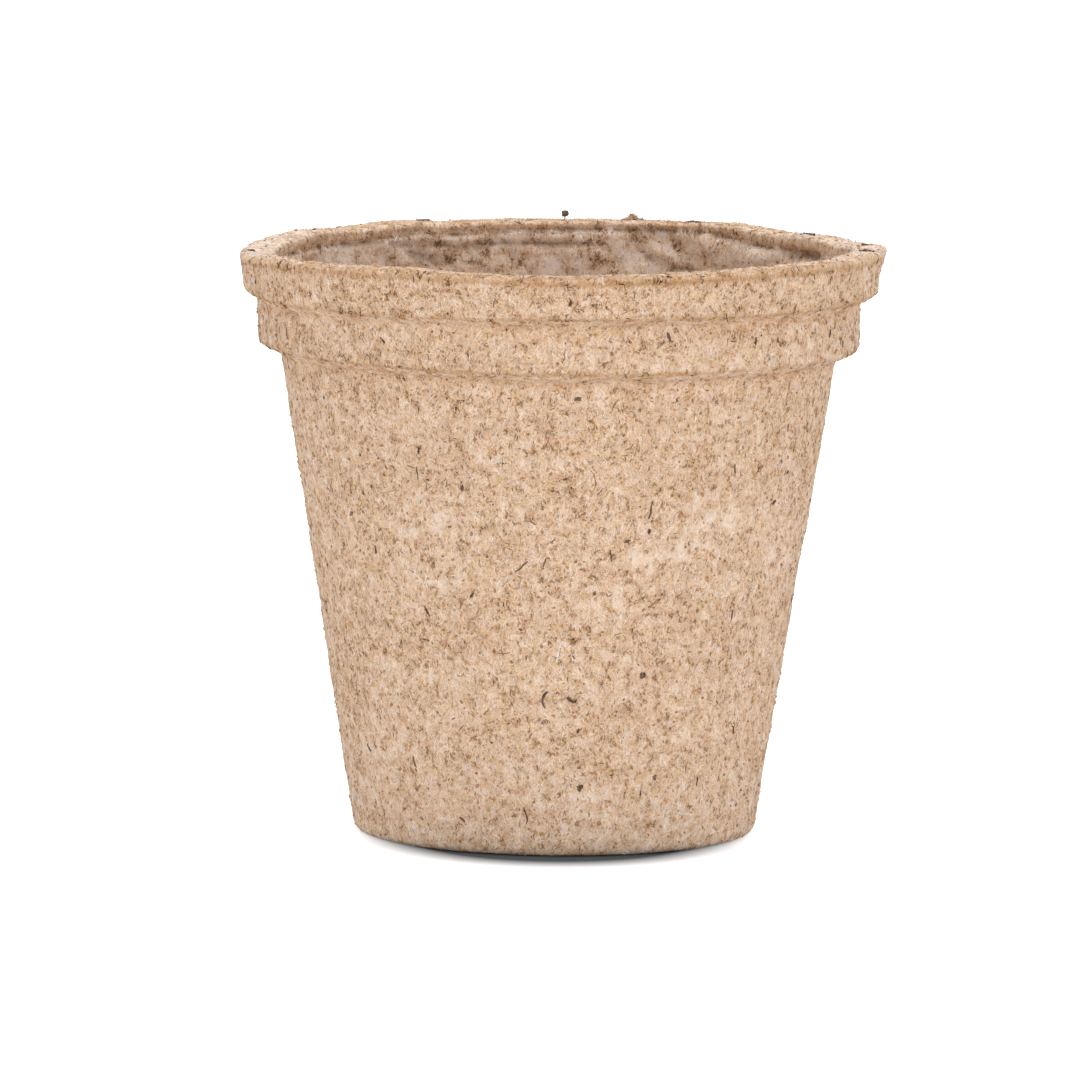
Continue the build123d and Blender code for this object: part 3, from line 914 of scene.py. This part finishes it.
class PEAT_OT_felt_strands(bpy.types.Operator):
    """Lay short bent strands over the whole pot, with dark specks and a little fuzz"""

    bl_idname = "peat.felt_strands"
    bl_label = "Felt strands"

    def execute(self, context):
        settings = context.scene.peat_strands
        surface = Surface()
        strand = one_strand()
        material = shared(bpy.data.materials, "felt_strand", strand_material)
        seed = 20
        for zone, label, total, parts in (
            ("outer", "wall_strands", settings.wall_count, 5),
            ("lip", "lip_strands", settings.lip_count, 1),
            ("inner", "inner_strands", settings.inner_count, 2),
            ("under", "underside_strands", settings.under_count, 1),
        ):
            for part in range(1, parts + 1):
                seed += 1
                name = f"{label}_{part}" if parts > 1 else label
                dice = np.random.default_rng(seed)
                piece = self.felt_layer(name, zone, total // parts, surface, strand, settings, dice)
                finish_piece(piece, None, material)
        for number, kind in enumerate(SPECK_KINDS):
            piece = self.specks(*kind, surface, strand, settings, np.random.default_rng(71 + number))
            finish_piece(piece, None, material)
        fuzz = self.fuzz(surface, strand, settings, np.random.default_rng(72))
        finish_piece(fuzz, None, material)
        return {"FINISHED"}

    def felt_layer(self, name, zone, count, surface, strand, settings, dice):
        """One piece of felt: strands of many shades, darker in blotches and where the creases hold stain and
        painted shade, paler in patches, and taking the tint's painted light and shade.
        """
        place, normal, (crease, inner, tint_and_painted_light) = surface.scatter(zone, count, dice)
        shade = np.clip(dice.normal(0.58, 0.14 if zone == "inner" else 0.08, count), 0.1, 0.98)
        odd = dice.random(count)
        shade = np.where(odd < 0.03, dice.uniform(0.2, 0.34, count), shade)
        shade = np.where(odd > 0.94, dice.uniform(0.80, 0.98, count), shade)
        blotch = noise_at(place, 0.0011, 31)
        # Strands take the tint with its painted light and shade, and the stain and painted shade of the
        # creases
        shade = shade + tint_and_painted_light - 0.02 * inner - (0.36 + 0.3 * inner) * crease
        shade = shade - 0.38 * rise(blotch, 0.14, 0.26) + 0.26 * rise(-blotch, 0.1, 1)
        hue = dice.choice(len(HUE_SHARES), count, p=HUE_SHARES)
        bleached = np.clip(2.6 * tint_and_painted_light, 0, 0.6) * (1 - 0.9 * inner)
        hue = np.where(dice.random(count) < bleached, BLEACHED_HUE, hue)
        hue = np.where(dice.random(count) < 1.4 * crease * (1 - inner), YELLOW_HUE, hue)
        length = settings.length * dice.lognormal(0, 0.42, count)
        width = settings.width * dice.lognormal(0, 0.30, count)
        lift = settings.width * dice.uniform(0.05, 0.5, count)
        return lay_strands(name, strand, (place, normal), shade, length, width, lift, dice, hue=hue)

    def specks(self, name, part, shades, longest, widest, surface, strand, settings, dice):
        """Small specks of peat of one kind all over, most of them outside."""
        seats = surface.scatter_over(SPECK_SHARES, settings.speck_count * part, dice)
        count = len(seats[0])
        shade = dice.uniform(*shades, count)
        length = longest * dice.uniform(0.35, 1, count)
        width = widest * dice.uniform(0.4, 1, count)
        lift = width * dice.uniform(0.1, 0.5, count)
        return lay_strands(name, strand, seats, shade, length, width, lift, dice)

    def fuzz(self, surface, strand, settings, dice):
        """Loose strands that stand off the wall and the lip."""
        seats = surface.scatter_over(FUZZ_SHARES, settings.fuzz_count, dice)
        count = len(seats[0])
        shade = np.clip(dice.normal(0.6, 0.16, count), 0.1, 0.98)
        length = dice.uniform(0.0004, 0.0011, count)
        width = dice.uniform(0.00005, 0.00010, count)
        lift = length * dice.uniform(0.05, 0.25, count)
        return lay_strands("loose_fuzz", strand, seats, shade, length, width, lift, dice, tilt=0.9, bend=0.2)


def loose_parts(node):
    """The CAD node's separate solids, each as an array of its own corner points."""
    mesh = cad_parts[node].data
    keys = {}
    index = [keys.setdefault(tuple(round(c * 1e7) for c in vertex.co), len(keys)) for vertex in mesh.vertices]
    parent = list(range(len(keys)))

    def root(i):
        while parent[i] != i:
            parent[i] = parent[parent[i]]
            i = parent[i]
        return i

    for face in mesh.polygons:
        first = root(index[face.vertices[0]])
        for v in face.vertices[1:]:
            parent[root(index[v])] = first
    parts = {}
    for key, i in keys.items():
        parts.setdefault(root(i), []).append([c / 1e7 for c in key])
    return sorted((np.array(p) for p in parts.values()), key=lambda p: tuple(p.mean(0).round(5)))


def seat_of(part, surface, flat_up=False):
    """Centre on the wall, outward normal, long axis, cross axis, length and width of one solid."""
    centre = part.mean(0)
    normal = np.array([0.0, 0.0, 1.0]) if flat_up else wall_normal(centre)
    flat = (part - centre) - np.outer((part - centre) @ normal, normal)
    longest = np.linalg.svd(flat, full_matrices=False)[2][0]
    along = longest - normal * (longest @ normal)
    along /= np.linalg.norm(along)
    across = np.cross(normal, along)
    length, width = (np.ptp((part - centre) @ axis) for axis in (along, across))
    return surface.drop(centre, normal), normal, along, across, length, width


def join_meshes(name, parts):
    """One object from lists of points and faces."""
    points, faces = [], []
    for shape, shape_faces in parts:
        faces.extend(tuple(v + len(points) for v in f) for f in shape_faces)
        points.extend(map(tuple, shape))
    mesh = bpy.data.meshes.new(name)
    mesh.from_pydata(points, [], faces)
    mesh.update()
    return new_object(name, mesh)


def one_flake():
    """A flake of bark of unit size that the chips and slivers are copied from: thin, angular and closed."""
    bpy.ops.object.select_all(action="DESELECT")
    bpy.ops.mesh.primitive_cube_add(size=1.0)
    flake = bpy.context.object
    bpy.ops.object.mode_set(mode="EDIT")
    bpy.ops.mesh.select_all(action="SELECT")
    bpy.ops.mesh.subdivide(number_cuts=3)
    bpy.ops.transform.tosphere(value=0.62)
    bpy.ops.object.mode_set(mode="OBJECT")
    return take_shape(flake)


def one_stalk(rings=9, sides=7):
    """A straight stalk of unit length and diameter, with rounded ends, that straws are copied from."""
    bpy.ops.object.select_all(action="DESELECT")
    bpy.ops.mesh.primitive_cylinder_add(vertices=sides, radius=0.5, depth=1.0, end_fill_type="TRIFAN")
    stalk = bpy.context.object
    bpy.ops.object.mode_set(mode="EDIT")
    for row in range(1, rings):
        bpy.ops.mesh.select_all(action="SELECT")
        bpy.ops.mesh.bisect(plane_co=(0, 0, row / rings - 0.5), plane_no=(0, 0, 1))
    bpy.ops.mesh.select_all(action="SELECT")
    bpy.ops.mesh.normals_make_consistent(inside=False)
    bpy.ops.object.mode_set(mode="OBJECT")
    shape, faces = take_shape(stalk)
    shape[:, :2] *= np.sqrt(np.clip(1 - (2 * np.abs(shape[:, 2:])) ** 6, 0.12, 1))
    return shape, faces


def bent_along(shape, path, width, normal):
    """Lays a straight stalk along a path of points, keeping its section square to it."""
    steps = np.concatenate([[0], np.cumsum(np.linalg.norm(np.diff(path, axis=0), axis=1))])
    where = (shape[:, 2] + 0.5) * steps[-1]
    behind, middle, ahead = (
        np.stack([np.interp(where + shift, steps, column) for column in path.T], 1)
        for shift in (-0.01 * MM, 0, 0.01 * MM)
    )
    along = unit(ahead - behind)
    side = unit(np.cross(along, normal))
    return middle + side * (shape[:, :1] * width) + np.cross(side, along) * (shape[:, 1:2] * width)


def smooth_path(points, count=24):
    """Points along a smooth curve through the given ones."""
    points = np.asarray(points, float)
    padded = np.vstack([2 * points[0] - points[1], points, 2 * points[-1] - points[-2]])
    rows = []
    for t in np.linspace(0, len(points) - 1, count):
        k = min(int(t), len(points) - 2)
        f = t - k
        a, b, c, d = padded[k : k + 4]
        curve = (2 * a - 5 * b + 4 * c - d) * f**2 + (3 * b - a - 3 * c + d) * f**3
        rows.append(0.5 * (2 * b + (c - a) * f + curve))
    return np.array(rows)


def flakes_for(node, material, name, flat_up=False, stand=0.0, thin=0.8, seed=1):
    """Natural flakes in the places of a node's flat solids, as one piece."""
    surface = Surface()
    shape, faces = one_flake()
    dice = np.random.default_rng(seed)
    rows = []
    for number, part in enumerate(loose_parts(node)):
        centre, normal, along, across, length, width = seat_of(part, surface, flat_up)
        own = shape.copy()
        rough = noise_at(own + number * 3.7, 0.45, seed + number)
        finer = noise_at(own + number * 1.9, 0.2, seed + number + 50)
        own *= (1 + 0.45 * rough + 0.16 * finer)[:, None]
        own[:, 1] *= 1 - 0.35 * np.clip(own[:, 0] * dice.choice([-1, 1]) + 0.2, 0, 0.6)
        own[:, 0] += 0.25 * own[:, 1] * dice.normal()
        curl = 0.12 * own[:, 0] ** 2 * MM * dice.uniform(-0.6, 0.8)
        points = centre + np.outer(own[:, 0] * length, along) + np.outer(own[:, 1] * width * thin, across)
        points += np.outer(own[:, 2] * 0.42 * MM + stand - 0.16 * MM + curl, normal)
        rows.append((points, faces))
    piece = join_meshes(name, rows)
    smooth(piece, 38)
    finish_piece(piece, node, material)


class PEAT_OT_bark_chips(bpy.types.Operator):
    """Press bark chips into the body and both collars"""

    bl_idname = "peat.bark_chips"
    bl_label = "Bark chips"

    def execute(self, context):
        material = bark(context.scene.peat_bark)
        flakes_for("body_bark_chips", material, "bark_chips", seed=5)
        flakes_for("collar_bark_chips", material, "collar_chips", seed=9)
        return {"FINISHED"}


class PEAT_OT_straws(bpy.types.Operator):
    """Lay thin bent straws half into the wall"""

    bl_idname = "peat.straws"
    bl_label = "Straws"

    def execute(self, context):
        settings = context.scene.peat_bark
        surface = Surface()
        shape, faces = one_stalk()
        dice = np.random.default_rng(31)
        share = np.linspace(-0.5, 0.5, 9)
        rows = []
        for part in loose_parts("body_straws"):
            centre, normal, along, across, length, _ = seat_of(part, surface)
            curve = dice.normal(0, 0.07) * length
            wiggle = dice.normal(0, 0.03) * length
            path = centre + np.outer(share * length, along)
            path += np.outer(curve * (1 - 4 * share**2) + wiggle * np.sin(9 * share), across)
            path += np.outer(0.03 * MM - 0.1 * MM * (2 * share) ** 4, normal)
            thick = 0.18 * MM * dice.uniform(0.8, 1.2)
            rows.append((bent_along(shape, smooth_path(path), thick, normal), faces))
        piece = join_meshes("straws", rows)
        smooth(piece)
        straw = shared(bpy.data.materials, "straw_stalk", bark_material, settings.dark, settings.straw)
        finish_piece(piece, "body_straws", straw)
        return {"FINISHED"}


class PEAT_OT_curled_stalk(bpy.types.Operator):
    """Set the hooked stalk into the wall"""

    bl_idname = "peat.curled_stalk"
    bl_label = "Curled stalk"

    def execute(self, context):
        part = loose_parts("curled_stalk")[0]
        low, high = part.min(0), part.max(0)
        normal = wall_normal((low + high) / 2)
        centre = Surface().drop((low + high) / 2, normal)
        right = np.cross([0, 0, 1], normal)
        right /= np.linalg.norm(right)
        up = np.cross(normal, right)
        half_x, _, half_z = (high - low) / 2 - 0.1 * MM
        path = [centre + right * x * half_x + up * y * half_z + normal * 0.05 * MM for x, y in HOOK]
        shape, faces = one_stalk(18, 8)
        shape[:, :2] *= 1 - 0.5 * shape[:, 2:]
        bent = bent_along(shape, smooth_path(path, 40), 0.27 * MM, normal)
        piece = join_meshes("hooked_stalk", [(bent, faces)])
        smooth(piece)
        finish_piece(piece, "curled_stalk", bark(context.scene.peat_bark))
        return {"FINISHED"}


class PEAT_OT_lip_slivers(bpy.types.Operator):
    """Lay the dark slivers and the pale one on the lip"""

    bl_idname = "peat.lip_slivers"
    bl_label = "Lip slivers"

    def execute(self, context):
        dark = bark(context.scene.peat_bark)
        pale = shared(bpy.data.materials, "pale_splinter", bark_material, *PALE_WOOD, 3000.0)
        flakes_for("rim_bark_slivers", dark, "lip_slivers", True, 0.13 * MM, 0.9, seed=14)
        flakes_for("rim_pale_sliver", pale, "pale_sliver", True, 0.15 * MM, 0.8, seed=17)
        return {"FINISHED"}


class PEAT_OT_crumb(bpy.types.Operator):
    """Stand the crumb on its thin stalk at the back of the lip"""

    bl_idname = "peat.crumb"
    bl_label = "Crumb"

    def execute(self, context):
        low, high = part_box("rim_crumb")
        centre = (low + high) / 2
        crumb, crumb_faces = one_flake()
        rough = 1 + 0.5 * noise_at(crumb, 0.35, 8) + 0.2 * noise_at(crumb, 0.16, 9)
        crumb *= (0.55 / np.linalg.norm(crumb, axis=1) ** 0.7 * rough)[:, None]
        crumb = crumb * np.array([0.95, 0.8, 0.88]) * MM + np.array([centre.x, centre.y, high.z - 0.46 * MM])
        stalk, stalk_faces = one_stalk(8, 6)
        path = [
            (centre.x + 0.05 * MM, centre.y, low.z),
            (centre.x - 0.05 * MM, centre.y, low.z + 0.6 * MM),
            (centre.x, centre.y, high.z - 0.6 * MM),
        ]
        stalk = bent_along(stalk, smooth_path(path, 12), 0.17 * MM, np.array([0.0, 1.0, 0.0]))
        piece = join_meshes("lip_crumb", [(crumb, crumb_faces), (stalk, stalk_faces)])
        smooth(piece, 40)
        finish_piece(piece, "rim_crumb", bark(context.scene.peat_bark))
        return {"FINISHED"}


class PEAT_OT_fibre_tuft(bpy.types.Operator):
    """Raise the tuft of loose fibre on the back of the lip"""

    bl_idname = "peat.fibre_tuft"
    bl_label = "Fibre tuft"

    def execute(self, context):
        low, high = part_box("rim_fibre_tuft")
        centre = np.array([(low.x + high.x) / 2, (low.y + high.y) / 2])
        spoke = centre / np.linalg.norm(centre)
        strand = one_strand()
        dice = np.random.default_rng(44)
        count = 420
        far = np.clip(dice.normal(0, 0.42, count), -1, 1)
        wide = np.clip(dice.normal(0, 0.42, count), -1, 1)
        dome = np.clip(1 - far**2 - 0.7 * wide**2, 0.05, 1) * (0.75 + 0.35 * np.sin(far * 7 + 1))
        level = POT_HEIGHT + dice.random(count) ** 0.6 * dome * 0.95 * MM - 0.1 * MM
        place = centre + np.outer(far * 1.75 * MM, (-spoke[1], spoke[0])) + np.outer(wide * 0.62 * MM, spoke)
        place = np.column_stack([place, level])
        lean = [0.5 * dice.normal(size=count), 0.5 * dice.normal(size=count)]
        normal = unit(np.stack([*lean, np.full(count, 1.2)], 1))
        shade = np.clip(dice.normal(0.42, 0.15, count), 0.08, 0.9)
        length = dice.uniform(0.0005, 0.0013, count)
        width = dice.uniform(0.00010, 0.00018, count)
        lift = length * dice.uniform(0.0, 0.2, count)
        piece = lay_strands(
            "fibre_tuft", strand, (place, normal), shade, length, width, lift, dice, tilt=0.25, bend=0.22
        )
        material = shared(bpy.data.materials, "felt_strand", strand_material)
        finish_piece(piece, "rim_fibre_tuft", material)
        return {"FINISHED"}


def area_lamp(name, place, target, size, power):
    """A large soft lamp that points at the target."""
    data = bpy.data.lights.new(name, "AREA")
    data.shape = "RECTANGLE"
    data.size, data.size_y = size
    data.energy = power
    lamp = new_object(name, data)
    lamp.location = place
    lamp.rotation_euler = (Vector(target) - Vector(place)).to_track_quat("-Z", "Y").to_euler()


def seen_directly(tree):
    """1 for what the camera sees, also in a mirror or through glass, and 0 for the light on things."""
    rays = tree.nodes.new("ShaderNodeLightPath").outputs
    seen = calculate(tree, "MAXIMUM", rays["Is Glossy Ray"], rays["Is Transmission Ray"])
    return calculate(tree, "MAXIMUM", rays["Is Camera Ray"], seen)


def floor_material(name):
    """White floor, with a painted shadow just in front of the pot's foot."""
    material, tree, shader = new_material(name, 0.9, 0.0)
    place = tree.nodes.new("ShaderNodeTexCoord").outputs["Object"]
    # Painted shadow: a dark patch shifted to the front of the foot, narrower at the sides, fading out to
    # white
    spot = vector_sum(tree, "SUBTRACT", place, (0.0, -0.0075, 0.0))
    away = vector_sum(tree, "LENGTH", vector_sum(tree, "MULTIPLY", spot, (1.15, 1.0, 1.0)))
    open_floor = map_range(tree, away, 0.0205, 0.0282)
    feed(tree, shader["Base Color"], mix(tree, open_floor, PAINTED_FOOT_SHADOW, FLOOR_WHITE))
    feed(tree, shader["Emission Color"], WHITE)
    glow = calculate(tree, "MULTIPLY", seen_directly(tree), calculate(tree, "MULTIPLY", open_floor, 0.62))
    feed(tree, shader["Emission Strength"], glow)
    return material


class PEAT_OT_studio(bpy.types.Operator):
    """Set up the white floor, the soft light and the camera"""

    bl_idname = "peat.studio"
    bl_label = "Studio"

    def execute(self, context):
        bpy.ops.object.select_all(action="DESELECT")
        bpy.ops.mesh.primitive_plane_add(size=8.0, location=(0, 0, -0.05 * MM))
        floor = named(context.object, "studio_floor")
        floor.data.materials.append(floor_material("studio_floor"))
        for lamp in LAMPS:
            area_lamp(*lamp)
        self.light_world(context.scene)
        self.place_camera(context.scene)
        context.scene.view_settings.view_transform = "Standard"
        return {"FINISHED"}

    def light_world(self, scene):
        """A soft light from all sides, in front of pure white."""
        scene.world = bpy.data.worlds.new("studio_world")
        scene.world.use_nodes = True
        tree = scene.world.node_tree
        tree.nodes.clear()
        light, white = (add_node(tree, "ShaderNodeBackground", WHITE, power).outputs[0] for power in (0.5, 1))
        mixed = add_node(tree, "ShaderNodeMixShader", seen_directly(tree), light, white)
        add_node(tree, "ShaderNodeOutputWorld", mixed.outputs[0])

    def place_camera(self, scene):
        """The camera in front of the pot, which leans against the lean of the pot in the photo."""
        settings = scene.peat_studio
        camera = new_object("camera", bpy.data.cameras.new("camera"))
        camera.location = (0, -settings.distance, settings.eye_height)
        yaw, pitch = settings.yaw, settings.pitch
        forward = Vector((-math.sin(yaw), math.cos(yaw), -math.tan(pitch))).normalized()
        aim = forward.to_track_quat("-Z", "Y")
        aim.rotate(Quaternion(forward, -settings.roll))
        camera.rotation_euler = aim.to_euler()
        camera.data.angle = settings.field
        camera.data.clip_start = 0.01
        camera.data.clip_end = 50.0
        scene.camera = camera


class PEAT_PT_pot(bpy.types.Panel):
    """Buttons that build the pot step by step"""

    bl_label = "Peat Pot"
    bl_idname = "PEAT_PT_pot"
    bl_space_type = "VIEW_3D"
    bl_region_type = "UI"
    bl_category = "Peat Pot"

    def draw(self, context):
        for group in SETTINGS:
            box = self.layout.box()
            settings = getattr(context.scene, group)
            for name in settings.__annotations__:
                box.prop(settings, name)
        for operator in OPERATORS:
            self.layout.operator(operator.bl_idname)


OPERATORS = (
    PEAT_OT_studio,
    PEAT_OT_moulded_shell,
    PEAT_OT_bark_chips,
    PEAT_OT_straws,
    PEAT_OT_curled_stalk,
    PEAT_OT_lip_slivers,
    PEAT_OT_crumb,
    PEAT_OT_fibre_tuft,
    PEAT_OT_felt_strands,
)
SETTINGS = {
    "peat_shell": ShellSettings,
    "peat_strands": StrandSettings,
    "peat_bark": BarkSettings,
    "peat_studio": StudioSettings,
}


def register():
    """Registers the settings, the operators and the panel."""
    for name, group in SETTINGS.items():
        bpy.utils.register_class(group)
        setattr(bpy.types.Scene, name, PointerProperty(type=group))
    for kind in (*OPERATORS, PEAT_PT_pot):
        bpy.utils.register_class(kind)


def unregister():
    """Takes them out again."""
    for kind in (PEAT_PT_pot, *reversed(OPERATORS)):
        bpy.utils.unregister_class(kind)
    for name, group in reversed(SETTINGS.items()):
        delattr(bpy.types.Scene, name)
        bpy.utils.unregister_class(group)


def main():
    """Builds the pot in its studio."""
    register()
    for operator in OPERATORS:
        category, name = operator.bl_idname.split(".")
        getattr(getattr(bpy.ops, category), name)()


if __name__ == "__main__":
    main()
